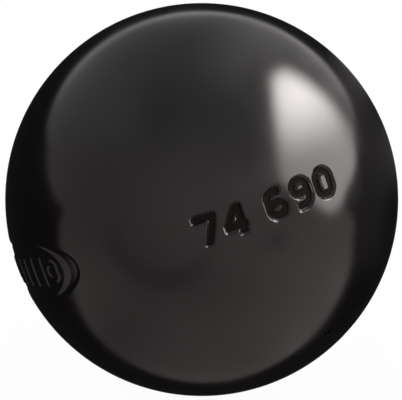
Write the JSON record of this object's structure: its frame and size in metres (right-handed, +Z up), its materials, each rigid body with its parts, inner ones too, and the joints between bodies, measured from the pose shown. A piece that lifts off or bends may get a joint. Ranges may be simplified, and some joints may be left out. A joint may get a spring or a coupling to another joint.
{
  "type": "petanque boule",
  "caption": "Hollow steel ball for petanque, black and smooth, with stamped figures, a sunk oval badge and a weld ground flush round its middle.",
  "frame": {"origin": "centre of the ball", "axes": "+Z is up as pictured. Y is the common axis of the two half-shells: -Y runs through the pole of the stamped shell, +Y through the pole of the plain shell, and the weld lies in the XZ plane"},
  "size_m": [0.074, 0.074, 0.074],
  "materials": {
    "black_steel": "gloss",
    "black_weld": "gloss"
  },
  "bodies": {
    "root": {"front_half_shell": "black_steel", "rear_half_shell": "black_steel", "weld_seam": "black_weld"}
  },
  "joints": []
}
